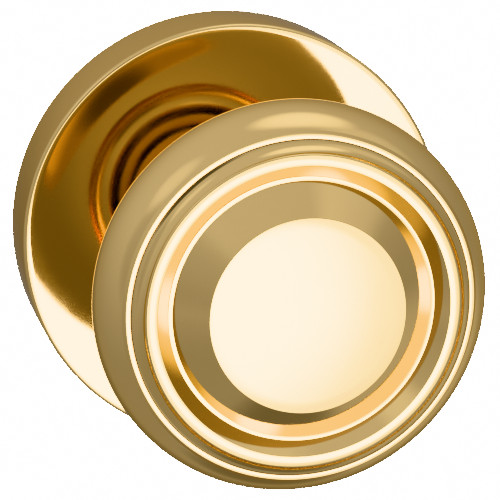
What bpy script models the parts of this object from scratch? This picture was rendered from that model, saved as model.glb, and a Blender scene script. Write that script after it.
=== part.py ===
"""Round door knob on a round rose: the outer half of a sprung knob set, taken apart into its real pieces.

Metres, +Z up. The origin is where the spindle's axis meets the face of the door. The door's face is the
plane y = 0, the knob stands out from it towards -Y, and the posts and the spindle reach into it along +Y.
Turned shapes are drawn as (radius, out) points: radius from the spindle's axis, out from the door's face.
"""
import math

import bmesh
import bpy

MM = 0.001

# Fits
FIT = 0.3 * MM                    # gap left between pieces that touch
SEAM = 0.3 * MM                   # gap where the knob's two shells meet
TRAVEL = 60.0                     # degrees the knob turns each way

# Rose
ROSE_RADIUS = 33.35 * MM
ROSE_HEIGHT = 12.8 * MM           # rim above the door
ROSE_WALL = 1.8 * MM
ROSE_EDGE_ROUND = 0.6 * MM
ROSE_DISH = 0.31 * MM             # how much lower the face lies beside the collar
COLLAR_WALL = 1.6 * MM
COLLAR_RISE = 2.6 * MM            # collar's top above the lowest part of the face
COLLAR_FLARE = 1.6 * MM

# Mounting plate and posts
PLATE_THICKNESS = 4.0 * MM
POST_RADIUS = 3.5 * MM
POST_LENGTH = 22.0 * MM           # behind the plate
POST_SPIGOT_RADIUS = 2.5 * MM
POST_HEAD_RADIUS = 3.3 * MM
POST_HEAD_HEIGHT = 1.0 * MM
POST_BORE_RADIUS = 2.0 * MM
POST_BORE_DEPTH = 15.0 * MM
POST_LAND = 0.9 * MM              # plate left between a post and the cassette

# Spring cassette
CASSETTE_WALL = 1.2 * MM
CASSETTE_DEPTH = 13.5 * MM
LID_THICKNESS = 1.0 * MM
EAR_THICKNESS = 1.6 * MM
EAR_WIDTH = 9.0 * MM
SCREW_RADIUS = 1.35 * MM
SCREW_HEAD_RADIUS = 2.8 * MM
SCREW_HEAD_HEIGHT = 1.6 * MM
CAM_THICKNESS = 1.8 * MM
CAM_RIM = 2.0 * MM                # cam's ring, measured outwards from its bore
LUG_WIDTH = 5.0 * MM
LUG_CLEARANCE = 0.7 * MM          # lug's tip to the cassette's wall
STOP_PIN_RADIUS = 1.2 * MM
STOP_PIN_GAP = 0.8 * MM           # stop pin to the cassette's wall
WIRE_RADIUS = 0.55 * MM
SPRING_TURNS = 4
SPRING_CLEARANCE = 0.9 * MM       # coil to the anchor rib
RIB_DEPTH = 3.6 * MM              # spring anchor rib, inwards from the cassette's wall

# Knob, outside
KNOB_RADIUS = 28.8 * MM
KNOB_REACH = 59.1 * MM            # centre disc in front of the door
RIM_SHARE = 0.4153                # rim's round, as a share of the width from the neck to the widest ring
RIM_WIDTH = 3.5 * MM              # lip's outer edge to the widest ring
BACK_ANGLE = 25.0                 # degrees of the rim's round behind the widest ring
BACK_LEAVE = 2.2 * MM             # how far the rim's direction carries into the back
BACK_ARRIVE = 6.0 * MM            # how far the crease's slope carries into the back
BACK_DEPTH = 7.4 * MM             # widest ring to the crease in the back
CREASE_MARGIN = 6.9 * MM          # crease's radius, past the neck's foot
CREASE_SLOPE = 27.0               # degrees
STEP_WIDTH = 0.6 * MM             # recess inside the crease
STEP_DEPTH = 0.8 * MM
THROAT_MARGIN = 3.0 * MM          # thick part of the neck, past its foot
THROAT_DEPTH = 4.2 * MM           # crease to where the neck is straight
THROAT_RISE = 7.5 * MM            # neck's foot to where it is thick
LIP_WIDTH = 0.75 * MM
LIP_HEIGHT = 0.5 * MM             # lip above the rim's round
LIP_DROP = 3.6 * MM               # lip behind the centre disc
COVE_WIDTH = 1.7 * MM             # lip's inner edge to the ridge
COVE_DEPTH = 0.15 * MM            # hollow of the slope between them
RIDGE_WIDTH = 1.68 * MM
RIDGE_DROP = 1.7 * MM
GROOVE_RISE_WIDTH = 1.87 * MM     # ridge's inner edge to the groove's bottom
GROOVE_WIDTH = 0.58 * MM          # groove's flat bottom
GROOVE_DROP = 3.5 * MM
CONE_WIDTH = 4.57 * MM            # groove's bottom to the centre disc
DISC_CROWN = 0.15 * MM

# Knob, inside
KNOB_WALL = 1.8 * MM
FLOOR_WALL = 1.4 * MM             # recess to the inner floor that the shank is clamped to
LEDGE_DEPTH = 3.0 * MM            # cap's seat behind the lip
LEDGE_WIDTH = 1.9 * MM
LEDGE_THICKNESS = 1.5 * MM
NECK_WALL = 1.8 * MM
JOURNAL_WALL = 1.52 * MM          # at the corners of the square bore
SHANK_STEP = 0.8 * MM             # shank's radius past the journal's
FLAT_DEPTH = 0.9 * MM             # each of the journal's two flats
WASHER_THICKNESS = 0.8 * MM
WASHER_MARGIN = 1.3 * MM          # lock washer's edge, past the neck's foot
NUT_MARGIN = 0.6 * MM             # nut's corners to the washer's edge
NUT_HEIGHT = 3.5 * MM
THREAD_RUNOUT = 1.0 * MM          # shank's front end past the nut
SHANK_END = 1.0 * MM              # shank's back end past the retaining ring
THRUST_WASHER_THICKNESS = 1.0 * MM
BUSHING_WALL = 1.4 * MM
BUSHING_FLANGE = 0.8 * MM
WAVE_SHEET = 0.4 * MM
WAVE_HEIGHT = 0.25 * MM
WAVE_MARGIN = 2.8 * MM            # wave washer's edge, past the journal's
CIRCLIP_THICKNESS = 1.0 * MM
CIRCLIP_DEPTH = 0.8 * MM          # groove's depth in the journal
CIRCLIP_MARGIN = 2.0 * MM         # retaining ring's edge, past the journal's
CIRCLIP_GAP = 36.0                # degrees

# Spindle and grub screws
SPINDLE_SIDE = 8.0 * MM
SPINDLE_BEHIND = 40.0 * MM        # past the door's face
SPINDLE_SHORT = 7.4 * MM          # spindle's end, short of the inner floor
KNOB_SCREW_GAP = 1.4 * MM         # knob's grub screw, clear of the bushing
KNOB_SCREW_RADIUS = 2.4 * MM
ROSE_SCREW_RADIUS = 1.3 * MM
ROSE_SCREW_LENGTH = 4.2 * MM
SOCKET_DEPTH = 1.6 * MM

# Widths that follow, from the spindle outwards
BORE_SIDE = SPINDLE_SIDE + 2 * FIT
JOURNAL_RADIUS = BORE_SIDE / math.sqrt(2) + JOURNAL_WALL
JOURNAL_FLAT = JOURNAL_RADIUS - FLAT_DEPTH
SHANK_RADIUS = JOURNAL_RADIUS + SHANK_STEP
NECK_RADIUS = SHANK_RADIUS + FIT + NECK_WALL
BUSHING_INNER = NECK_RADIUS + FIT
BUSHING_OUTER = BUSHING_INNER + BUSHING_WALL
COLLAR_BORE = BUSHING_OUTER + FIT
COLLAR_RADIUS = COLLAR_BORE + COLLAR_WALL
COLLAR_FOOT = COLLAR_RADIUS + COLLAR_FLARE
WAVE_RADIUS = JOURNAL_RADIUS + WAVE_MARGIN
CIRCLIP_RADIUS = JOURNAL_RADIUS + CIRCLIP_MARGIN
COIL_RADIUS = JOURNAL_RADIUS + 2 * FIT + WIRE_RADIUS
RIB_TIP = COIL_RADIUS + WIRE_RADIUS + SPRING_CLEARANCE
CUP_INNER = RIB_TIP + RIB_DEPTH
CASSETTE_RADIUS = CUP_INNER + CASSETTE_WALL
CAM_RADIUS = JOURNAL_RADIUS + FIT + CAM_RIM
LUG_TIP = CUP_INNER - LUG_CLEARANCE
STOP_PLACE = CUP_INNER - STOP_PIN_GAP - STOP_PIN_RADIUS
POST_PLACE = CASSETTE_RADIUS + FIT + POST_LAND + FIT + POST_SPIGOT_RADIUS
SCREW_PLACE = POST_PLACE
PLATE_RADIUS = ROSE_RADIUS - ROSE_WALL - FIT
THROAT_RADIUS = NECK_RADIUS + THROAT_MARGIN
CREASE_RADIUS = NECK_RADIUS + CREASE_MARGIN
WASHER_RADIUS = NECK_RADIUS + WASHER_MARGIN
NUT_RADIUS = WASHER_RADIUS - NUT_MARGIN

# Places inside the rose, from its face backwards
FACE_EDGE = ROSE_RADIUS - ROSE_EDGE_ROUND
FACE_LOW = ROSE_HEIGHT - ROSE_DISH
CEILING = FACE_LOW - ROSE_WALL
LID_FRONT = CEILING - FIT
LID_BACK = LID_FRONT - LID_THICKNESS
CUP_FRONT = LID_BACK - FIT
CUP_BACK = CUP_FRONT - CASSETTE_DEPTH
CUP_FLOOR = CUP_BACK + CASSETTE_WALL
EAR_BACK = PLATE_THICKNESS + FIT
EAR_FRONT = EAR_BACK + EAR_THICKNESS
CAM_FRONT = CUP_FRONT - FIT
CAM_BACK = CAM_FRONT - CAM_THICKNESS
WAVE_FRONT = CUP_BACK - FIT
WAVE_BACK = WAVE_FRONT - WAVE_SHEET - 2 * WAVE_HEIGHT
CIRCLIP_FRONT = WAVE_BACK - FIT
CIRCLIP_BACK = CIRCLIP_FRONT - CIRCLIP_THICKNESS
SHANK_BACK = CIRCLIP_BACK - FIT - SHANK_END

# Places along the neck, from the rose outwards
THRUST_BACK = LID_FRONT + FIT
NECK_FOOT = THRUST_BACK + THRUST_WASHER_THICKNESS + FIT
COLLAR_OUT = FACE_LOW + COLLAR_RISE
FLANGE_BACK = COLLAR_OUT + FIT
FLANGE_FRONT = FLANGE_BACK + BUSHING_FLANGE
NECK_TOP = FLANGE_FRONT + FIT
THROAT_FOOT = NECK_TOP + THROAT_RISE
KNOB_SCREW_OUT = FLANGE_FRONT + KNOB_SCREW_GAP + KNOB_SCREW_RADIUS

# Knob's rings, from the rim inwards
RIM_ROUND = RIM_SHARE * (KNOB_RADIUS - NECK_RADIUS)
RIM_CENTRE = KNOB_RADIUS - RIM_ROUND
LIP_ANGLE = math.degrees(math.acos(1 - RIM_WIDTH / RIM_ROUND))
LIP_OUT = KNOB_REACH - LIP_DROP
RIM_OUT = LIP_OUT - LIP_HEIGHT - RIM_ROUND * math.sin(math.radians(LIP_ANGLE))
CREASE_OUT = RIM_OUT - BACK_DEPTH
RECESS_RADIUS = CREASE_RADIUS - STEP_WIDTH
RECESS_OUT = CREASE_OUT + STEP_DEPTH
THROAT_TOP = CREASE_OUT - THROAT_DEPTH
LIP_OUTER = KNOB_RADIUS - RIM_WIDTH
LIP_INNER = LIP_OUTER - LIP_WIDTH
CAP_RADIUS = LIP_INNER - SEAM
RIDGE_OUTER = LIP_INNER - COVE_WIDTH
RIDGE_INNER = RIDGE_OUTER - RIDGE_WIDTH
RIDGE_OUT = KNOB_REACH - RIDGE_DROP
GROOVE_OUTER = RIDGE_INNER - GROOVE_RISE_WIDTH
GROOVE_INNER = GROOVE_OUTER - GROOVE_WIDTH
GROOVE_OUT = KNOB_REACH - GROOVE_DROP
DISC_RADIUS = GROOVE_INNER - CONE_WIDTH
LEDGE_OUT = LIP_OUT - LEDGE_DEPTH
LEDGE_BACK = LEDGE_OUT - LEDGE_THICKNESS
LEDGE_INNER = LIP_INNER - LEDGE_WIDTH

# Clamping stack on the knob's inner floor
FLOOR_OUT = RECESS_OUT + FLOOR_WALL
SPINDLE_FRONT = FLOOR_OUT - SPINDLE_SHORT
WASHER_BACK = FLOOR_OUT + FIT
WASHER_FRONT = WASHER_BACK + WASHER_THICKNESS
NUT_BACK = WASHER_FRONT + FIT
NUT_FRONT = NUT_BACK + NUT_HEIGHT

FINE = 48                         # sides of the large turned pieces
COARSE = 32                       # sides of the small turned pieces
SMOOTH_ANGLE = math.radians(35)


def clear_scene():
    for thing in list(bpy.data.objects):
        bpy.data.objects.remove(thing, do_unlink=True)


def metal(name, colour, roughness, metallic=1.0):
    material = bpy.data.materials.new(name)
    material.use_nodes = True
    shader = material.node_tree.nodes["Principled BSDF"]
    shader.inputs["Base Color"].default_value = (*colour, 1.0)
    shader.inputs["Metallic"].default_value = metallic
    shader.inputs["Roughness"].default_value = roughness
    return material


def finished(name, shape, material, parent=None):
    """Object made from a bmesh, with its faces turned outwards and its round sides shaded smooth."""
    bmesh.ops.recalc_face_normals(shape, faces=shape.faces)
    mesh = bpy.data.meshes.new(name)
    shape.to_mesh(mesh)
    shape.free()
    mesh.shade_smooth()
    mesh.set_sharp_from_angle(angle=SMOOTH_ANGLE)
    if material:
        mesh.materials.append(material)
    piece = bpy.data.objects.new(name, mesh)
    bpy.context.scene.collection.objects.link(piece)
    piece.parent = parent
    return piece


def arc(centre, radius, start, end, steps):
    """Points along a circle's arc, from start to end in degrees, ends included."""
    angles = [math.radians(start + (end - start) * step / steps) for step in range(steps + 1)]
    return [(centre[0] + radius * math.cos(a), centre[1] + radius * math.sin(a)) for a in angles]


def sweep(start, leave, arrive, end, steps):
    """Points along a cubic curve that leaves start towards leave and reaches end from arrive."""
    points = []
    for step in range(steps + 1):
        t = step / steps
        weights = ((1 - t) ** 3, 3 * t * (1 - t) ** 2, 3 * t * t * (1 - t), t ** 3)
        corners = (start, leave, arrive, end)
        points.append(tuple(sum(w * c[axis] for w, c in zip(weights, corners)) for axis in (0, 1)))
    return points


def turned(name, outline, material, parent=None, sides=COARSE, first=0.0, span=360.0):
    """Solid turned about the spindle's axis from (radius, out) points that run once round its section."""
    shape = bmesh.new()
    whole = span == 360.0
    rings = sides if whole else sides + 1
    corners = []
    for ring in range(rings):
        angle = math.radians(first + span * ring / sides)
        corners.append([
            shape.verts.new((radius * math.cos(angle), -out, radius * math.sin(angle)))
            for radius, out in outline
        ])
    for ring in range(sides):
        here, there = corners[ring], corners[(ring + 1) % rings]
        for index in range(len(outline)):
            following = (index + 1) % len(outline)
            shape.faces.new((here[index], here[following], there[following], there[index]))
    if not whole:
        shape.faces.new(corners[0])
        shape.faces.new(corners[-1])
    bmesh.ops.remove_doubles(shape, verts=shape.verts, dist=0.001 * MM)
    axis_edges = [edge for edge in shape.edges if not edge.link_faces]
    bmesh.ops.delete(shape, geom=axis_edges, context="EDGES")
    return finished(name, shape, material, parent)


def prism(name, outline, back, front, material=None, parent=None):
    """Solid with an (x, z) outline, from back to front in front of the door."""
    shape = bmesh.new()
    near = [shape.verts.new((x, -back, z)) for x, z in outline]
    far = [shape.verts.new((x, -front, z)) for x, z in outline]
    shape.faces.new(near)
    shape.faces.new(far)
    for index in range(len(outline)):
        following = (index + 1) % len(outline)
        shape.faces.new((near[index], near[following], far[following], far[index]))
    return finished(name, shape, material, parent)


def polygon(radius, sides, centre=(0.0, 0.0)):
    """Corners of a regular polygon that stands on one of its sides."""
    first = 180.0 / sides - 90.0
    return arc(centre, radius, first, first + 360.0 * (sides - 1) / sides, sides - 1)


def rectangle(width, height, centre=(0.0, 0.0)):
    x, z = centre
    return [(x - width / 2, z - height / 2), (x + width / 2, z - height / 2),
            (x + width / 2, z + height / 2), (x - width / 2, z + height / 2)]


def upright_rod(name, outline, high, low, material=None, parent=None, out=0.0):
    """Solid that runs down along Z from high to low, its (x, y) outline centred at out from the door."""
    shape = bmesh.new()
    top = [shape.verts.new((x, y - out, high)) for x, y in outline]
    bottom = [shape.verts.new((x, y - out, low)) for x, y in outline]
    shape.faces.new(top)
    shape.faces.new(bottom)
    for index in range(len(outline)):
        following = (index + 1) % len(outline)
        shape.faces.new((top[index], top[following], bottom[following], bottom[index]))
    return finished(name, shape, material, parent)


def combine(target, tool, operation):
    """Cut the tool out of the target or join it on, and keep the tool as a hidden guide."""
    step = target.modifiers.new(tool.name, "BOOLEAN")
    step.operation = operation
    step.object = tool
    step.solver = "EXACT"
    tool.hide_render = True
    tool.display_type = "WIRE"


def rose_face(steps):
    """Slightly hollow face, from its outer edge down to the collar's foot."""
    points = []
    for step in range(steps + 1):
        radius = FACE_EDGE + (COLLAR_FOOT - FACE_EDGE) * step / steps
        rise = (radius ** 2 - COLLAR_FOOT ** 2) / (FACE_EDGE ** 2 - COLLAR_FOOT ** 2)
        points.append((radius, FACE_LOW + ROSE_DISH * rise))
    return points


def rose_cover(brass):
    round_corner = arc((FACE_EDGE, ROSE_HEIGHT - ROSE_EDGE_ROUND), ROSE_EDGE_ROUND, 0, 90, 3)
    flare = arc((COLLAR_FOOT, FACE_LOW + COLLAR_FLARE), COLLAR_FLARE, 270, 180, 4)
    outline = [(ROSE_RADIUS, 0.0)] + round_corner + rose_face(6)[1:] + flare[1:]
    outline += [(COLLAR_RADIUS, COLLAR_OUT), (COLLAR_BORE, COLLAR_OUT), (COLLAR_BORE, CEILING)]
    outline += [(ROSE_RADIUS - ROSE_WALL, CEILING), (ROSE_RADIUS - ROSE_WALL, 0.0)]
    return turned("rose_cover", outline, brass, sides=FINE)


def mounting_plate(zinc):
    bore = CASSETTE_RADIUS + FIT
    outline = [(PLATE_RADIUS, 0.0), (PLATE_RADIUS, PLATE_THICKNESS), (bore, PLATE_THICKNESS), (bore, 0.0)]
    plate = turned("mounting_plate", outline, zinc, sides=FINE)
    for side in (-1, 1):
        post_hole = polygon(POST_SPIGOT_RADIUS + FIT, COARSE // 2, (side * POST_PLACE, 0.0))
        combine(plate, prism(f"post_hole_{side}", post_hole, -FIT, EAR_BACK), "DIFFERENCE")
        screw_hole = polygon(SCREW_RADIUS + FIT, COARSE // 2, (0.0, side * SCREW_PLACE))
        combine(plate, prism(f"screw_hole_{side}", screw_hole, -FIT, EAR_BACK), "DIFFERENCE")
    return plate


def fixing_post(name, side, steel):
    """Riveted post with a blind bore for the bolt that comes through the door."""
    x = side * POST_PLACE
    outline = [
        (0.0, PLATE_THICKNESS + FIT + POST_HEAD_HEIGHT),
        (POST_HEAD_RADIUS, PLATE_THICKNESS + FIT + POST_HEAD_HEIGHT),
        (POST_HEAD_RADIUS, PLATE_THICKNESS + FIT),
        (POST_SPIGOT_RADIUS, PLATE_THICKNESS + FIT),
        (POST_SPIGOT_RADIUS, -FIT),
        (POST_RADIUS, -FIT),
        (POST_RADIUS, -POST_LENGTH),
        (POST_BORE_RADIUS, -POST_LENGTH),
        (POST_BORE_RADIUS, -POST_LENGTH + POST_BORE_DEPTH),
        (0.0, -POST_LENGTH + POST_BORE_DEPTH),
    ]
    post = turned(name, outline, steel, sides=COARSE // 2)
    post.location = (x, 0.0, 0.0)
    return post


def cassette_body(zinc):
    """Cup for the return spring, with two screw ears and the rib that the spring's tangs straddle."""
    shank_hole = JOURNAL_RADIUS + FIT
    cup = turned("cassette_body", [
        (CASSETTE_RADIUS, CUP_BACK), (CASSETTE_RADIUS, CUP_FRONT), (CUP_INNER, CUP_FRONT),
        (CUP_INNER, CUP_FLOOR), (shank_hole, CUP_FLOOR), (shank_hole, CUP_BACK)], zinc)
    ear_length = 2 * SCREW_PLACE + EAR_WIDTH
    ears = prism("ear_bar", rectangle(EAR_WIDTH, ear_length), EAR_BACK, EAR_FRONT)
    inside_wall = polygon(CASSETTE_RADIUS - CASSETTE_WALL / 2, COARSE)
    combine(ears, prism("ear_clearance", inside_wall, EAR_BACK - FIT, EAR_FRONT + FIT), "DIFFERENCE")
    combine(cup, ears, "UNION")
    rib_root = CUP_INNER + CASSETTE_WALL / 2
    rib_outline = rectangle(LUG_WIDTH, rib_root - RIB_TIP, (0.0, -(rib_root + RIB_TIP) / 2))
    rib = prism("spring_rib", rib_outline, CUP_FLOOR - CASSETTE_WALL / 2, CAM_BACK - FIT)
    combine(cup, rib, "UNION")
    for side in (-1, 1):
        hole = polygon(SCREW_RADIUS + FIT, COARSE // 2, (0.0, side * SCREW_PLACE))
        combine(cup, prism(f"ear_hole_{side}", hole, EAR_BACK - FIT, EAR_FRONT + FIT), "DIFFERENCE")
    return cup


def cassette_lid(zinc):
    bore = JOURNAL_RADIUS + FIT
    return turned("cassette_lid", [
        (CASSETTE_RADIUS, LID_BACK), (CASSETTE_RADIUS, LID_FRONT), (bore, LID_FRONT), (bore, LID_BACK)], zinc)


def cassette_screw(name, side, steel):
    """Pan head screw with a cross recess."""
    head_back = EAR_FRONT + FIT
    head_front = head_back + SCREW_HEAD_HEIGHT
    outline = [
        (0.0, FIT), (SCREW_RADIUS, FIT), (SCREW_RADIUS, head_back), (SCREW_HEAD_RADIUS, head_back),
        (SCREW_HEAD_RADIUS, head_back + SCREW_HEAD_HEIGHT / 2), (SCREW_HEAD_RADIUS * 0.7, head_front),
        (0.0, head_front)]
    screw = turned(name, outline, steel, sides=COARSE // 2)
    long, short = SCREW_HEAD_RADIUS * 1.1, SCREW_HEAD_RADIUS * 0.3
    recess_back = head_front - SCREW_HEAD_HEIGHT / 2
    for label, width, height in (("across", long, short), ("upright", short, long)):
        slot = prism(f"{name}_{label}", rectangle(width, height), recess_back, head_front + FIT)
        slot.parent = screw
        combine(screw, slot, "DIFFERENCE")
    screw.location = (0.0, 0.0, side * SCREW_PLACE)
    return screw


def stop_pin(name, side, steel):
    """Pin that the cam's lug meets at the end of the knob's turn."""
    lug_half = math.asin(LUG_WIDTH / 2 / STOP_PLACE)
    pin_half = math.asin(STOP_PIN_RADIUS / STOP_PLACE)
    gap = FIT / STOP_PLACE
    turn = math.radians(TRAVEL) + lug_half + pin_half + gap
    place = (side * STOP_PLACE * math.sin(turn), -STOP_PLACE * math.cos(turn))
    outline = polygon(STOP_PIN_RADIUS, COARSE // 2, place)
    return prism(name, outline, CUP_FLOOR + FIT, CUP_FRONT, steel)


def return_spring(steel):
    """Torsion spring round the journal, its two tangs on either side of the rib and the cam's lug."""
    tang_radius = RIB_TIP + WIRE_RADIUS
    beside_lug = math.asin((LUG_WIDTH / 2 + FIT + WIRE_RADIUS) / RIB_TIP)
    down = -math.pi / 2
    low = CUP_FLOOR + FIT + WIRE_RADIUS
    high = CAM_BACK - FIT - WIRE_RADIUS
    tang_tip = CAM_FRONT - WIRE_RADIUS
    steps = SPRING_TURNS * 16
    turn = SPRING_TURNS * 2 * math.pi - 2 * beside_lug

    def place(radius, angle, out):
        return (radius * math.cos(angle), -out, radius * math.sin(angle))

    points = [place(tang_radius, down + beside_lug, tang_tip), place(tang_radius, down + beside_lug, low)]
    for step in range(steps + 1):
        share = step / steps
        points.append(place(COIL_RADIUS, down + beside_lug + turn * share, low + (high - low) * share))
    points += [place(tang_radius, down - beside_lug, high), place(tang_radius, down - beside_lug, tang_tip)]
    path = bpy.data.curves.new("return_spring", "CURVE")
    path.dimensions = "3D"
    path.bevel_depth = WIRE_RADIUS
    path.bevel_resolution = 1
    path.use_fill_caps = True
    line = path.splines.new("POLY")
    line.points.add(len(points) - 1)
    for point, corner in zip(line.points, points):
        point.co = (*corner, 1.0)
    path.materials.append(steel)
    spring = bpy.data.objects.new("return_spring", path)
    bpy.context.scene.collection.objects.link(spring)
    return spring


def neck_bushing(nylon):
    flange_radius = COLLAR_RADIUS - COLLAR_WALL / 2
    return turned("neck_bushing", [
        (BUSHING_INNER, THRUST_BACK), (BUSHING_OUTER, THRUST_BACK), (BUSHING_OUTER, FLANGE_BACK),
        (flange_radius, FLANGE_BACK), (flange_radius, FLANGE_FRONT), (BUSHING_INNER, FLANGE_FRONT)], nylon)


def knob_cap(brass, turning):
    """Front of the knob: crowned disc, cone, groove, ridge and cove, pressed into the body's lip."""
    cove = ((RIDGE_OUTER + CAP_RADIUS) / 2 - COVE_DEPTH, (RIDGE_OUT + LIP_OUT) / 2 - COVE_DEPTH)
    back_under_disc = KNOB_REACH - KNOB_WALL
    outline = [
        (0.0, KNOB_REACH + DISC_CROWN), (DISC_RADIUS, KNOB_REACH), (GROOVE_INNER, GROOVE_OUT),
        (GROOVE_OUTER, GROOVE_OUT), (RIDGE_INNER, RIDGE_OUT), (RIDGE_OUTER, RIDGE_OUT), cove,
        (CAP_RADIUS, LIP_OUT), (CAP_RADIUS, LEDGE_OUT + FIT), (GROOVE_INNER - KNOB_WALL, LEDGE_OUT + FIT),
        (DISC_RADIUS - KNOB_WALL, back_under_disc), (0.0, back_under_disc)]
    return turned("knob_cap", outline, brass, turning, sides=FINE)


def knob_outside():
    """Rounded rim, shallow back down to its crease, and the neck that comes out of a recess there."""
    rim = arc((RIM_CENTRE, RIM_OUT), RIM_ROUND, LIP_ANGLE, -BACK_ANGLE, 8)
    lean, slope = math.radians(BACK_ANGLE), math.radians(CREASE_SLOPE)
    leave = (rim[-1][0] - BACK_LEAVE * math.sin(lean), rim[-1][1] - BACK_LEAVE * math.cos(lean))
    arrive = (CREASE_RADIUS + BACK_ARRIVE * math.cos(slope), CREASE_OUT + BACK_ARRIVE * math.sin(slope))
    back = sweep(rim[-1], leave, arrive, (CREASE_RADIUS, CREASE_OUT), 6)
    fillet = sweep((RECESS_RADIUS, RECESS_OUT), (THROAT_RADIUS, RECESS_OUT),
                   (THROAT_RADIUS, (RECESS_OUT + THROAT_TOP) / 2), (THROAT_RADIUS, THROAT_TOP), 5)
    middle = (THROAT_FOOT + NECK_TOP) / 2
    neck = sweep((THROAT_RADIUS, THROAT_FOOT), (THROAT_RADIUS, middle), (NECK_RADIUS, middle),
                 (NECK_RADIUS, NECK_TOP), 5)
    return rim + back[1:] + fillet + neck + [(NECK_RADIUS, NECK_FOOT)]


def knob_inside():
    """Bore, inner floor, the hollow of the rim and the cap's ledge, from the foot forwards."""
    bore = SHANK_RADIUS + FIT
    hollow = RIM_ROUND - KNOB_WALL
    ledge_angle = math.degrees(math.asin((LEDGE_BACK - RIM_OUT) / hollow))
    rim = arc((RIM_CENTRE, RIM_OUT), hollow, -BACK_ANGLE, ledge_angle, 4)
    floor = [(bore, NECK_FOOT), (bore, FLOOR_OUT), (CREASE_RADIUS, FLOOR_OUT)]
    ledge = [(LEDGE_INNER, LEDGE_BACK), (LEDGE_INNER, LEDGE_OUT)]
    lip = [(LIP_INNER, LEDGE_OUT), (LIP_INNER, LIP_OUT)]
    return floor + rim + ledge + lip


def knob_body(brass, turning):
    outline = [(LIP_OUTER, LIP_OUT)] + knob_outside() + knob_inside()
    return turned("knob_body", outline, brass, turning, sides=FINE)


def shank(brass, turning):
    """Tube inside the neck: it carries the knob on the spindle and turns in the cassette."""
    groove = JOURNAL_RADIUS - CIRCLIP_DEPTH
    end = NUT_FRONT + THREAD_RUNOUT
    tube = turned("shank", [
        (0.0, SHANK_BACK), (JOURNAL_RADIUS, SHANK_BACK), (JOURNAL_RADIUS, CIRCLIP_BACK - FIT),
        (groove, CIRCLIP_BACK - FIT), (groove, CIRCLIP_FRONT + FIT), (JOURNAL_RADIUS, CIRCLIP_FRONT + FIT),
        (JOURNAL_RADIUS, NECK_FOOT), (SHANK_RADIUS, NECK_FOOT), (SHANK_RADIUS, end), (0.0, end),
    ], brass, turning)
    square = rectangle(BORE_SIDE, BORE_SIDE)
    combine(tube, prism("square_bore", square, SHANK_BACK - FIT, end + FIT), "DIFFERENCE")
    for side in (-1, 1):
        centre = (side * (JOURNAL_FLAT + JOURNAL_RADIUS / 2), 0.0)
        flat = rectangle(JOURNAL_RADIUS, 3 * JOURNAL_RADIUS, centre)
        combine(tube, prism(f"journal_flat_{side}", flat, SHANK_BACK - FIT, CAM_FRONT + FIT), "DIFFERENCE")
    return tube


def drive_cam(steel, turning):
    """Plate on the journal's flats, with the lug that winds the spring and meets the stop pins."""
    bore = JOURNAL_RADIUS + FIT
    cam = prism("drive_cam", polygon(CAM_RADIUS, COARSE), CAM_BACK, CAM_FRONT, steel, turning)
    lug_root = (bore + CAM_RADIUS) / 2
    lug_outline = rectangle(LUG_WIDTH, LUG_TIP - lug_root, (0.0, -(LUG_TIP + lug_root) / 2))
    combine(cam, prism("cam_lug", lug_outline, CAM_BACK, CAM_FRONT), "UNION")
    half_width = JOURNAL_FLAT + FIT
    corner = math.degrees(math.acos(half_width / bore))
    steps = COARSE // 4
    hole = arc((0.0, 0.0), bore, corner, 180 - corner, steps)
    hole += arc((0.0, 0.0), bore, 180 + corner, 360 - corner, steps)
    combine(cam, prism("cam_bore", hole, CAM_BACK - FIT, CAM_FRONT + FIT), "DIFFERENCE")
    return cam


def washer(name, inner, outer, back, front, material, turning):
    return turned(name, [(outer, back), (outer, front), (inner, front), (inner, back)], material, turning)


def shank_nut(steel, turning):
    nut = prism("shank_nut", polygon(NUT_RADIUS, 6), NUT_BACK, NUT_FRONT, steel, turning)
    bore = polygon(SHANK_RADIUS + FIT, COARSE)
    combine(nut, prism("nut_bore", bore, NUT_BACK - FIT, NUT_FRONT + FIT), "DIFFERENCE")
    return nut


def wave_washer(steel, turning):
    """Spring ring with three waves, which takes up the knob's end play."""
    middle = (WAVE_FRONT + WAVE_BACK) / 2
    ring = washer("wave_washer", JOURNAL_RADIUS + FIT, WAVE_RADIUS,
                  middle - WAVE_SHEET / 2, middle + WAVE_SHEET / 2, steel, turning)
    for corner in ring.data.vertices:
        angle = math.atan2(corner.co.z, corner.co.x)
        corner.co.y += WAVE_HEIGHT * math.cos(3 * angle)
    return ring


def retaining_ring(steel, turning):
    inner = JOURNAL_RADIUS - CIRCLIP_DEPTH + FIT
    outline = [(CIRCLIP_RADIUS, CIRCLIP_BACK), (CIRCLIP_RADIUS, CIRCLIP_FRONT),
               (inner, CIRCLIP_FRONT), (inner, CIRCLIP_BACK)]
    return turned("retaining_ring", outline, steel, turning,
                  first=-90 + CIRCLIP_GAP / 2, span=360 - CIRCLIP_GAP)


def spindle(steel, turning):
    square = rectangle(SPINDLE_SIDE, SPINDLE_SIDE)
    return prism("spindle", square, -SPINDLE_BEHIND, SPINDLE_FRONT, steel, turning)


def grub_screw(name, radius, high, low, out, steel, parent=None):
    """Headless screw that points up, with a hexagon socket in its lower end."""
    screw = upright_rod(name, polygon(radius, COARSE // 2), high, low, steel, parent, out)
    socket = polygon(radius * 0.55, 6)
    cutter = upright_rod(f"{name}_socket", socket, low + SOCKET_DEPTH, low - FIT, out=out)
    combine(screw, cutter, "DIFFERENCE")
    return screw


def drill_up(targets, name, radius, high, low, out):
    """The same upright hole through every piece that a grub screw crosses."""
    drill = upright_rod(name, polygon(radius + FIT, COARSE // 2), high, low, out=out)
    for target in targets:
        combine(target, drill, "DIFFERENCE")


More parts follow.
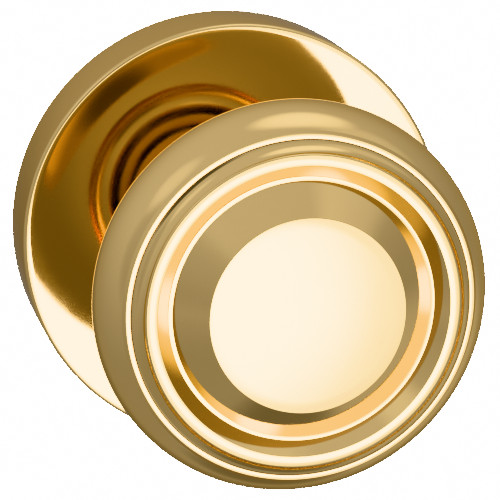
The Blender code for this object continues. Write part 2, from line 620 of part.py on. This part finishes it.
def build():
    clear_scene()
    brass = metal("polished_brass", (0.86, 0.66, 0.36), 0.08)
    plain_brass = metal("plain_brass", (0.72, 0.55, 0.30), 0.35)
    zinc = metal("zinc_casting", (0.62, 0.63, 0.65), 0.5)
    steel = metal("steel", (0.55, 0.56, 0.58), 0.35)
    nylon = metal("nylon", (0.75, 0.72, 0.66), 0.5, metallic=0.0)

    turning = bpy.data.objects.new("knob_turn", None)
    bpy.context.scene.collection.objects.link(turning)

    cover = rose_cover(brass)
    plate = mounting_plate(zinc)
    fixing_post("fixing_post_left", -1, steel)
    fixing_post("fixing_post_right", 1, steel)
    cassette_body(zinc)
    cassette_lid(zinc)
    cassette_screw("cassette_screw_top", 1, steel)
    cassette_screw("cassette_screw_bottom", -1, steel)
    stop_pin("stop_pin_left", -1, steel)
    stop_pin("stop_pin_right", 1, steel)
    return_spring(steel)
    neck_bushing(nylon)

    knob_cap(brass, turning)
    body = knob_body(brass, turning)
    tube = shank(plain_brass, turning)
    washer("lock_washer", SHANK_RADIUS + FIT, WASHER_RADIUS, WASHER_BACK, WASHER_FRONT, steel, turning)
    shank_nut(steel, turning)
    washer("thrust_washer", JOURNAL_RADIUS + FIT, NECK_RADIUS - FIT, THRUST_BACK,
           THRUST_BACK + THRUST_WASHER_THICKNESS, nylon, turning)
    drive_cam(steel, turning)
    wave_washer(steel, turning)
    retaining_ring(steel, turning)
    spindle(steel, turning)

    screw_tip = -SPINDLE_SIDE / 2 - FIT
    screw_end = -NECK_RADIUS + FIT
    grub_screw("knob_grub_screw", KNOB_SCREW_RADIUS, screw_tip, screw_end, KNOB_SCREW_OUT, steel, turning)
    drill_up((body, tube), "knob_screw_hole", KNOB_SCREW_RADIUS, -SPINDLE_SIDE / 4, -CREASE_RADIUS,
             KNOB_SCREW_OUT)

    rose_screw_low = -ROSE_RADIUS + FIT
    rose_screw_high = rose_screw_low + ROSE_SCREW_LENGTH
    rose_screw_out = PLATE_THICKNESS / 2
    grub_screw("rose_grub_screw", ROSE_SCREW_RADIUS, rose_screw_high, rose_screw_low, rose_screw_out, steel)
    drill_up((cover, plate), "rose_screw_hole", ROSE_SCREW_RADIUS, rose_screw_high + FIT,
             -ROSE_RADIUS - FIT, rose_screw_out)


build()
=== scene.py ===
"""Looks of the round door knob: polished brass lathe work, satin steel and castings, in a soft white studio.

Turned shapes are drawn as (radius, out) points, as in the CAD model: radius from the spindle's axis, out from
the door's face along -Y. Lengths are in metres.
"""
import math

import bmesh
import bpy
from mathutils import Matrix, Vector

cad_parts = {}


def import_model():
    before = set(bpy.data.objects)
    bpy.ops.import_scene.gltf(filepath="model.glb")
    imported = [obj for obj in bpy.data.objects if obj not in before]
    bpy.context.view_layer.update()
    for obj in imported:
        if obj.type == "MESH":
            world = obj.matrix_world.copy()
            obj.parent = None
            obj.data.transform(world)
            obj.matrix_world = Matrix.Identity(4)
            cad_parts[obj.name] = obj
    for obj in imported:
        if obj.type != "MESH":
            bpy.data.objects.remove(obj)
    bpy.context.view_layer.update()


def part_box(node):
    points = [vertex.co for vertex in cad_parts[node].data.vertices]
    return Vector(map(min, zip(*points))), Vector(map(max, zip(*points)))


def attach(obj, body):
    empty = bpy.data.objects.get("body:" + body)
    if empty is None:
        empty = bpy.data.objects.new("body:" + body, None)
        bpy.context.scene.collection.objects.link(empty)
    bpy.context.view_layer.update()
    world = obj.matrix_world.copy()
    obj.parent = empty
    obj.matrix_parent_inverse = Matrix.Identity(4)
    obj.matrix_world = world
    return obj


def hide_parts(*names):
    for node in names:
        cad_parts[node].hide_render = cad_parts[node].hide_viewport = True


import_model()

MM = 0.001
MICRON = 0.001 * MM

DISC_CROWN = 0.15 * MM            # centre disc's bulge

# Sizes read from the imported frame
KNOB_REACH = -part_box("knob_cap")[0].y - DISC_CROWN
KNOB_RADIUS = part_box("knob_body")[1].x
ROSE_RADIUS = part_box("rose_cover")[1].x
COLLAR_OUT = -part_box("rose_cover")[0].y

# Rose
ROSE_HEIGHT = 12.8 * MM
ROSE_EDGE_ROUND = 0.6 * MM
ROSE_DISH = 0.31 * MM             # depth of the dished face, beside the collar
COLLAR_RADIUS = 14.1 * MM
COLLAR_FLARE = 1.6 * MM
COLLAR_BORE = 12.5 * MM

# Knob's back and neck
RIM_OUT = 48.6 * MM               # widest ring in front of the door
RIM_ROUND = 7.6 * MM
BACK_ANGLE = 25.0                 # degrees of the rim's round behind the widest ring
BACK_LEAVE = 2.2 * MM             # how far the rim's direction carries into the back
BACK_ARRIVE = 6.0 * MM            # how far the crease's slope carries into the back
CREASE_RADIUS = 17.4 * MM
CREASE_OUT = 41.2 * MM
CREASE_SLOPE = 27.0               # degrees
STEP_WIDTH = 0.6 * MM             # recess inside the crease
STEP_DEPTH = 0.8 * MM
THROAT_RADIUS = 13.5 * MM         # thick part of the neck
THROAT_TOP = 37.0 * MM
THROAT_FOOT = 24.0 * MM
NECK_RADIUS = 10.5 * MM
NECK_TOP = 16.5 * MM
NECK_FOOT = 12.0 * MM

# Knob's front, from the rim inwards
RIM_WIDTH = 3.5 * MM              # lip's outer edge to the widest ring
LIP_WIDTH = 0.75 * MM
LIP_DROP = 3.6 * MM               # lip behind the centre disc
LIP_DEPTH = 1.0 * MM              # how far the seam between body and cap is drawn
LIP_OUTER_ROUND = 0.15 * MM
LIP_INNER_ROUND = 0.1 * MM
SEAM = 0.05 * MM
COVE_WIDTH = 1.7 * MM             # lip's inner edge to the ridge
COVE_LEAN = 0.25 * MM             # how far out and down the cove's curve leaves the ridge
COVE_DROP = 0.9 * MM
COVE_REACH = 0.8 * MM             # how far in and up the cove's curve leaves the lip
COVE_RISE = 0.15 * MM
RIDGE_WIDTH = 1.68 * MM
RIDGE_DROP = 1.7 * MM
RIDGE_CROWN = 0.04 * MM
RIDGE_OUTER_ROUND = 0.35 * MM
RIDGE_INNER_ROUND = 0.15 * MM
GROOVE_RISE_WIDTH = 1.87 * MM     # ridge's inner edge to the groove's bottom
GROOVE_FLAT = 0.58 * MM           # groove's flat bottom
GROOVE_DROP = 3.5 * MM
GROOVE_ROUND = 0.08 * MM
CONE_WIDTH = 4.57 * MM            # groove's bottom to the centre disc
DISC_ROUND = 0.25 * MM

LIP_OUTER = KNOB_RADIUS - RIM_WIDTH
LIP_INNER = LIP_OUTER - LIP_WIDTH
LIP_OUT = KNOB_REACH - LIP_DROP
RIDGE_OUTER = LIP_INNER - COVE_WIDTH
RIDGE_INNER = RIDGE_OUTER - RIDGE_WIDTH
RIDGE_OUT = KNOB_REACH - RIDGE_DROP
GROOVE_OUTER = RIDGE_INNER - GROOVE_RISE_WIDTH
GROOVE_INNER = GROOVE_OUTER - GROOVE_FLAT
GROOVE_OUT = KNOB_REACH - GROOVE_DROP
DISC_RADIUS = GROOVE_INNER - CONE_WIDTH

# Fineness of the turned pieces
SIDES = 256
EDGE_STEPS = 8                    # rose's edge
FACE_STEPS = 24                   # rose's dished face
FLARE_STEPS = 12                  # foot of the rose's collar
FILLET_STEPS = 6                  # edges of the knob's rings
DISC_STEPS = 8
COVE_STEPS = 16
RIM_STEPS = 48
BACK_STEPS = 32
THROAT_STEPS = 24
NECK_STEPS = 16
SAME_PLACE = 0.0001 * MM
SMOOTH_ANGLE = math.radians(25)

# Brass at a grazing angle
EDGE_TINT = (0.95, 0.82, 0.62, 1.0)

# Noise values that most of a noise texture lies between
NOISE_LOW = 0.3
NOISE_HIGH = 0.7

# Studio: direction, colour, and the angles in degrees at which a light is still full and has gone
AMBIENT = (0.36, 0.36, 0.36)
LIGHTS = (
    ((-0.30, -0.20, 0.93), (0.19, 0.19, 0.19), 20.0, 110.0),   # wide ceiling glow
    ((0.18, -0.95, -0.265), (5.2, 5.2, 5.2), 2.2, 7.0),        # key, seen in every flat face
    ((0.11, -0.97, -0.17), (1.5, 1.5, 1.5), 9.0, 24.0),        # key's soft surround
    ((-0.02, -0.87, -0.49), (0.40, 0.40, 0.40), 7.0, 18.0),    # fill under the key, for the groove
    ((0.24, -0.05, 0.97), (0.40, 0.40, 0.40), 3.0, 24.0),      # overhead strip
    ((-0.62, -0.33, 0.62), (0.14, 0.14, 0.14), 1.0, 18.0),     # upper left
    ((0.62, -0.42, 0.66), (0.10, 0.10, 0.10), 8.0, 24.0),      # upper right
    ((0.75, -0.05, -0.62), (0.12, 0.12, 0.12), 10.0, 36.0),    # lower right
)

# Dark parts of the studio: direction, share of the light that is left, and the same two angles
SHADES = (
    ((-0.2155, -0.9423, 0.2561), 0.30, 5.0, 16.0),             # round the camera
    ((0.05, 0.00, -1.00), 0.65, 6.0, 26.0),                    # below
    ((0.10, 0.90, -0.45), 0.70, 12.0, 45.0),                   # door's side
    ((-0.84, -0.51, 0.17), 0.86, 8.0, 24.0),                   # left
)

# Camera
CAMERA_AZIMUTH = -12.88           # degrees
CAMERA_ELEVATION = 14.84          # degrees
CAMERA_TARGET = (-1.732, -29.865, 2.190)   # in millimetres
CAMERA_DISTANCE = 398.2 * MM
LENS = 191.9
SENSOR_WIDTH = 36.0
CLIP_START = 0.01
CLIP_END = 100.0

# Backdrop and floor
BACKDROP = 20.0                   # brightness of both
FLOOR_DROP = 0.5
FLOOR_HALF = 2.0
FLOOR_GREY = (0.9, 0.9, 0.9, 1.0)
FLOOR_ROUGHNESS = 0.8
WHITE = (1.0, 1.0, 1.0, 1.0)


def arc(centre, radius, start, end, steps):
    """Points along a circle's arc, from start to end in degrees, ends included."""
    angles = [math.radians(start + (end - start) * step / steps) for step in range(steps + 1)]
    return [(centre[0] + radius * math.cos(a), centre[1] + radius * math.sin(a)) for a in angles]


def sweep(start, leave, arrive, end, steps):
    """Points along a cubic curve that leaves start towards leave and reaches end from arrive."""
    points = []
    for step in range(steps + 1):
        t = step / steps
        weights = ((1 - t) ** 3, 3 * t * (1 - t) ** 2, 3 * t * t * (1 - t), t ** 3)
        corners = (start, leave, arrive, end)
        points.append(tuple(sum(w * c[axis] for w, c in zip(weights, corners)) for axis in (0, 1)))
    return points


def turned(name, outline, material, sides=SIDES):
    """Open skin turned about the spindle's axis from (radius, out) points."""
    shape = bmesh.new()
    rings = []
    for side in range(sides):
        angle = 2 * math.pi * side / sides
        rings.append([
            shape.verts.new((radius * math.cos(angle), -out, radius * math.sin(angle)))
            for radius, out in outline
        ])
    for side in range(sides):
        here, there = rings[side], rings[(side + 1) % sides]
        for index in range(len(outline) - 1):
            shape.faces.new((here[index], here[index + 1], there[index + 1], there[index]))
    bmesh.ops.remove_doubles(shape, verts=shape.verts, dist=SAME_PLACE)
    bmesh.ops.recalc_face_normals(shape, faces=shape.faces)
    mesh = bpy.data.meshes.new(name)
    shape.to_mesh(mesh)
    shape.free()
    mesh.shade_smooth()
    mesh.set_sharp_from_angle(angle=SMOOTH_ANGLE)
    mesh.materials.append(material)
    piece = bpy.data.objects.new(name, mesh)
    bpy.context.scene.collection.objects.link(piece)
    return piece


def noise(tree, coordinates, scale, detail=3.0):
    """Noise of a given number of waves in a metre."""
    node = tree.nodes.new("ShaderNodeTexNoise")
    node.inputs["Scale"].default_value = scale
    node.inputs["Detail"].default_value = detail
    tree.links.new(coordinates, node.inputs["Vector"])
    return node.outputs[0]


def spread(tree, value, low, high):
    """A noise value stretched to run from low to high."""
    node = tree.nodes.new("ShaderNodeMapRange")
    node.inputs["From Min"].default_value = NOISE_LOW
    node.inputs["From Max"].default_value = NOISE_HIGH
    node.inputs["To Min"].default_value = low
    node.inputs["To Max"].default_value = high
    tree.links.new(value, node.inputs["Value"])
    return node.outputs[0]


def turning_coordinates(tree, place):
    """Coordinates that stay the same all the way round the spindle's axis, as lathe marks do."""
    parts = tree.nodes.new("ShaderNodeSeparateXYZ")
    across = tree.nodes.new("ShaderNodeCombineXYZ")
    radius = tree.nodes.new("ShaderNodeVectorMath")
    radius.operation = "LENGTH"
    ring = tree.nodes.new("ShaderNodeCombineXYZ")
    tree.links.new(place, parts.inputs[0])
    tree.links.new(parts.outputs["X"], across.inputs["X"])
    tree.links.new(parts.outputs["Z"], across.inputs["Z"])
    tree.links.new(across.outputs[0], radius.inputs[0])
    tree.links.new(radius.outputs["Value"], ring.inputs["X"])
    tree.links.new(parts.outputs["Y"], ring.inputs["Y"])
    return ring.outputs[0]


def relief(tree, height, distance, normal=None):
    """Normal of a surface whose height noise spans the given distance."""
    bump = tree.nodes.new("ShaderNodeBump")
    bump.inputs["Distance"].default_value = distance
    tree.links.new(height, bump.inputs["Height"])
    if normal:
        tree.links.new(normal, bump.inputs["Normal"])
    return bump.outputs[0]


def finish(name, metallic, light, dark, roughness, patches, grain, turning):
    """Material with patchy colour and roughness, over a relief of grain and of turning marks.

    The patches are waves in a metre. The grain and the turning are each (waves in a metre, height in metres).
    """
    material = bpy.data.materials.new(name)
    material.use_nodes = True
    tree = material.node_tree
    shader = tree.nodes["Principled BSDF"]
    shader.inputs["Metallic"].default_value = metallic
    place = tree.nodes.new("ShaderNodeTexCoord").outputs["Object"]
    colour = tree.nodes.new("ShaderNodeMixRGB")
    colour.inputs[1].default_value = (*light, 1.0)
    colour.inputs[2].default_value = (*dark, 1.0)
    tree.links.new(spread(tree, noise(tree, place, patches), 0.0, 1.0), colour.inputs[0])
    tree.links.new(colour.outputs[0], shader.inputs["Base Color"])
    uneven = spread(tree, noise(tree, place, 3 * patches), *roughness)
    tree.links.new(uneven, shader.inputs["Roughness"])
    rough = relief(tree, noise(tree, place, grain[0]), grain[1])
    marks = noise(tree, turning_coordinates(tree, place), turning[0], 1.0)
    tree.links.new(relief(tree, marks, turning[1], rough), shader.inputs["Normal"])
    return material


def polished_brass():
    """Mirror polish: patches hardly darker than the rest, and the last fine rings of the polishing mop."""
    material = finish("polished_brass_finish", 1.0, (0.81, 0.63, 0.35), (0.79, 0.61, 0.33), (0.045, 0.075),
                      60.0, (900.0, 0.2 * MICRON), (2500.0, 0.25 * MICRON))
    shader = material.node_tree.nodes["Principled BSDF"]
    shader.inputs["Specular Tint"].default_value = EDGE_TINT
    return material


def plain_brass():
    """Turned brass left as the tool left it."""
    return finish("plain_brass_finish", 1.0, (0.78, 0.60, 0.33), (0.62, 0.45, 0.22), (0.25, 0.45), 150.0,
                  (3000.0, 4 * MICRON), (2500.0, 12 * MICRON))


def zinc_casting():
    """Die-cast zinc alloy: matt grey with a fine pebbled skin."""
    return finish("zinc_casting_finish", 1.0, (0.62, 0.63, 0.65), (0.45, 0.46, 0.49), (0.42, 0.62), 120.0,
                  (2200.0, 25 * MICRON), (300.0, 2 * MICRON))


def plated_steel():
    """Zinc-plated steel, half bright."""
    return finish("plated_steel_finish", 1.0, (0.66, 0.66, 0.66), (0.55, 0.55, 0.50), (0.22, 0.38), 160.0,
                  (4000.0, 3 * MICRON), (2000.0, 6 * MICRON))


def natural_nylon():
    """Moulded nylon without pigment."""
    return finish("natural_nylon_finish", 0.0, (0.80, 0.77, 0.70), (0.72, 0.68, 0.60), (0.40, 0.55), 140.0,
                  (2500.0, 8 * MICRON), (900.0, 5 * MICRON))


def dress(names, material):
    """Give carried-over CAD nodes a better material."""
    for name in names:
        bpy.data.objects[name].data.materials.clear()
        bpy.data.objects[name].data.materials.append(material)


def rose_outline():
    """Straight side, rounded edge, face dished as a parabola, and the collar round the knob's neck."""
    edge = ROSE_RADIUS - ROSE_EDGE_ROUND
    foot = COLLAR_RADIUS + COLLAR_FLARE
    low = ROSE_HEIGHT - ROSE_DISH
    outline = [(ROSE_RADIUS, 0.0)]
    outline += arc((edge, ROSE_HEIGHT - ROSE_EDGE_ROUND), ROSE_EDGE_ROUND, 0, 90, EDGE_STEPS)
    for step in range(1, FACE_STEPS + 1):
        radius = edge + (foot - edge) * step / FACE_STEPS
        rise = (radius ** 2 - foot ** 2) / (edge ** 2 - foot ** 2)
        outline.append((radius, low + ROSE_DISH * rise))
    outline += arc((foot, low + COLLAR_FLARE), COLLAR_FLARE, 270, 180, FLARE_STEPS)[1:]
    outline += [(COLLAR_RADIUS, COLLAR_OUT), (COLLAR_BORE, COLLAR_OUT), (COLLAR_BORE, low)]
    return outline


def rounded(corners, steps=FILLET_STEPS):
    """Outline through corners given as (radius, out, round), each rounded with its own radius."""
    points = []
    for index, (radius, out, fillet) in enumerate(corners):
        corner = Vector((radius, out))
        if fillet == 0.0:
            points.append((radius, out))
            continue
        before = (Vector(corners[index - 1][:2]) - corner).normalized()
        after = (Vector(corners[index + 1][:2]) - corner).normalized()
        half = before.angle(after) / 2
        centre = corner + (before + after).normalized() * fillet / math.sin(half)
        first = corner + before * fillet / math.tan(half) - centre
        turn = first.angle_signed(corner + after * fillet / math.tan(half) - centre)
        for step in range(steps + 1):
            spoke = first.copy()
            spoke.rotate(Matrix.Rotation(-turn * step / steps, 2))
            points.append(tuple(centre + spoke))
    return points


def cap_outline():
    """Crowned disc, cone, groove, ridge and cove, from the centre out to the seam beside the lip."""
    shares = [step / DISC_STEPS for step in range(DISC_STEPS)]
    disc = [(DISC_RADIUS * share, KNOB_REACH + DISC_CROWN * (1 - share ** 2), 0.0) for share in shares]
    leave = (RIDGE_OUTER + COVE_LEAN, RIDGE_OUT - COVE_DROP)
    outline = rounded(disc + [
        (DISC_RADIUS, KNOB_REACH, DISC_ROUND),
        (GROOVE_INNER, GROOVE_OUT, GROOVE_ROUND),
        (GROOVE_OUTER, GROOVE_OUT, GROOVE_ROUND),
        (RIDGE_INNER, RIDGE_OUT, RIDGE_INNER_ROUND),
        ((RIDGE_INNER + RIDGE_OUTER) / 2, RIDGE_OUT + RIDGE_CROWN, 0.0),
        (RIDGE_OUTER, RIDGE_OUT, RIDGE_OUTER_ROUND),
        (*leave, 0.0),
    ])[:-1]
    seat = LIP_INNER - SEAM
    cove = sweep(outline[-1], leave, (seat - COVE_REACH, LIP_OUT + COVE_RISE), (seat, LIP_OUT), COVE_STEPS)
    return outline + cove[1:] + [(seat, LIP_OUT - LIP_DEPTH)]


def body_outline():
    """Lip, rounded rim, shallow back down to its crease, and the neck that comes out of a recess there."""
    centre = (KNOB_RADIUS - RIM_ROUND, RIM_OUT)
    lip_angle = math.degrees(math.acos((LIP_OUTER - centre[0]) / RIM_ROUND))
    rim = arc(centre, RIM_ROUND, lip_angle, -BACK_ANGLE, RIM_STEPS)
    lip = rounded([
        (LIP_INNER, LIP_OUT - LIP_DEPTH, 0.0),
        (LIP_INNER, LIP_OUT, LIP_INNER_ROUND),
        (LIP_OUTER, LIP_OUT, LIP_OUTER_ROUND),
        (*rim[2], 0.0),
    ])
    lean, slope = math.radians(BACK_ANGLE), math.radians(CREASE_SLOPE)
    leave = (rim[-1][0] - BACK_LEAVE * math.sin(lean), rim[-1][1] - BACK_LEAVE * math.cos(lean))
    arrive = (CREASE_RADIUS + BACK_ARRIVE * math.cos(slope), CREASE_OUT + BACK_ARRIVE * math.sin(slope))
    back = sweep(rim[-1], leave, arrive, (CREASE_RADIUS, CREASE_OUT), BACK_STEPS)
    recess = (CREASE_RADIUS - STEP_WIDTH, CREASE_OUT + STEP_DEPTH)
    fillet = sweep(recess, (THROAT_RADIUS, recess[1]), (THROAT_RADIUS, (recess[1] + THROAT_TOP) / 2),
                   (THROAT_RADIUS, THROAT_TOP), THROAT_STEPS)
    middle = (THROAT_FOOT + NECK_TOP) / 2
    neck = sweep((THROAT_RADIUS, THROAT_FOOT), (THROAT_RADIUS, middle), (NECK_RADIUS, middle),
                 (NECK_RADIUS, NECK_TOP), NECK_STEPS)
    return lip + rim[3:] + back[1:] + fillet + neck + [(NECK_RADIUS, NECK_FOOT)]


def camera():
    """Long lens, looking down on the knob from the upper left."""
    azimuth, elevation = math.radians(CAMERA_AZIMUTH), math.radians(CAMERA_ELEVATION)
    back = Vector((math.sin(azimuth) * math.cos(elevation), -math.cos(azimuth) * math.cos(elevation),
                   math.sin(elevation)))
    data = bpy.data.cameras.new("camera")
    data.lens = LENS
    data.sensor_width = SENSOR_WIDTH
    data.clip_start = CLIP_START
    data.clip_end = CLIP_END
    view = bpy.data.objects.new("camera", data)
    bpy.context.scene.collection.objects.link(view)
    view.location = Vector(CAMERA_TARGET) * MM + back * CAMERA_DISTANCE
    view.rotation_mode = "QUATERNION"
    view.rotation_quaternion = (-back).to_track_quat("-Z", "Y")
    bpy.context.scene.camera = view


def fade(tree, direction, inner, outer, near, far):
    """Value that is near within the inner angle of a direction and far beyond the outer one, in degrees."""
    where = tree.nodes.new("ShaderNodeTexCoord")
    dot = tree.nodes.new("ShaderNodeVectorMath")
    dot.operation = "DOT_PRODUCT"
    dot.inputs[1].default_value = Vector(direction).normalized()
    tree.links.new(where.outputs["Generated"], dot.inputs[0])
    span = tree.nodes.new("ShaderNodeMapRange")
    span.interpolation_type = "SMOOTHSTEP"
    span.inputs["From Min"].default_value = math.cos(math.radians(outer))
    span.inputs["From Max"].default_value = math.cos(math.radians(inner))
    span.inputs["To Min"].default_value = far
    span.inputs["To Max"].default_value = near
    tree.links.new(dot.outputs["Value"], span.inputs["Value"])
    return span.outputs[0]


def vector_math(tree, operation, first, second):
    """Result of a vector operation on two values, each a tuple or another node's output."""
    node = tree.nodes.new("ShaderNodeVectorMath")
    node.operation = operation
    for value, socket in ((first, node.inputs[0]), (second, node.inputs[1])):
        if isinstance(value, tuple):
            socket.default_value = value
        else:
            tree.links.new(value, socket)
    return node.outputs[0]


def world():
    """Soft studio that the metal reflects, behind a plain white backdrop that only the camera sees."""
    scene = bpy.context.scene
    scene.view_settings.view_transform = "Khronos PBR Neutral"
    scene.view_settings.look = "High Contrast"
    studio = bpy.data.worlds.new("studio")
    scene.world = studio
    studio.use_nodes = True
    tree = studio.node_tree
    tree.nodes.clear()
    total = AMBIENT
    for direction, colour, inner, outer in LIGHTS:
        glow = vector_math(tree, "MULTIPLY", fade(tree, direction, inner, outer, 1.0, 0.0), colour)
        total = vector_math(tree, "ADD", glow, total)
    for direction, share, inner, outer in SHADES:
        total = vector_math(tree, "MULTIPLY", fade(tree, direction, inner, outer, share, 1.0), total)
    path = tree.nodes.new("ShaderNodeLightPath")
    mix = tree.nodes.new("ShaderNodeMixRGB")
    tree.links.new(path.outputs["Is Camera Ray"], mix.inputs[0])
    tree.links.new(total, mix.inputs[1])
    mix.inputs[2].default_value = (BACKDROP, BACKDROP, BACKDROP, 1.0)
    light = tree.nodes.new("ShaderNodeBackground")
    output = tree.nodes.new("ShaderNodeOutputWorld")
    tree.links.new(mix.outputs[0], light.inputs[0])
    tree.links.new(light.outputs[0], output.inputs[0])


def skin(name, outline, material, node, body):
    """Finely turned stand-in for a polished CAD node."""
    piece = turned(name, outline, material)
    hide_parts(node)
    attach(piece, body)


def door_knob():
    """Fine skins for the polished pieces, and a better material for every other one."""
    brass = polished_brass()
    skin("rose_skin", rose_outline(), brass, "rose_cover", "root")
    skin("knob_body_skin", body_outline(), brass, "knob_body", "knob")
    skin("knob_cap_skin", cap_outline(), brass, "knob_cap", "knob")
    dress(["shank"], plain_brass())
    dress(["mounting_plate", "cassette_body", "cassette_lid"], zinc_casting())
    dress(["fixing_post_left", "fixing_post_right", "cassette_screw_top", "cassette_screw_bottom",
           "stop_pin_left", "stop_pin_right", "return_spring", "rose_grub_screw", "lock_washer",
           "shank_nut", "drive_cam", "wave_washer", "retaining_ring", "spindle", "knob_grub_screw"],
          plated_steel())
    dress(["neck_bushing", "thrust_washer"], natural_nylon())


def floor():
    """Lit white floor well below the knob, which only the camera sees."""
    corners = [(x * FLOOR_HALF, y * FLOOR_HALF, -FLOOR_DROP) for x, y in ((-1, -1), (1, -1), (1, 1), (-1, 1))]
    data = bpy.data.meshes.new("floor")
    data.from_pydata(corners, [], [(0, 1, 2, 3)])
    paint = bpy.data.materials.new("floor_paint")
    paint.use_nodes = True
    shader = paint.node_tree.nodes["Principled BSDF"]
    shader.inputs["Base Color"].default_value = FLOOR_GREY
    shader.inputs["Roughness"].default_value = FLOOR_ROUGHNESS
    shader.inputs["Emission Color"].default_value = WHITE
    shader.inputs["Emission Strength"].default_value = BACKDROP
    data.materials.append(paint)
    piece = bpy.data.objects.new("floor", data)
    bpy.context.scene.collection.objects.link(piece)
    piece.visible_diffuse = False
    piece.visible_glossy = False
    piece.visible_shadow = False


door_knob()
floor()
camera()
world()
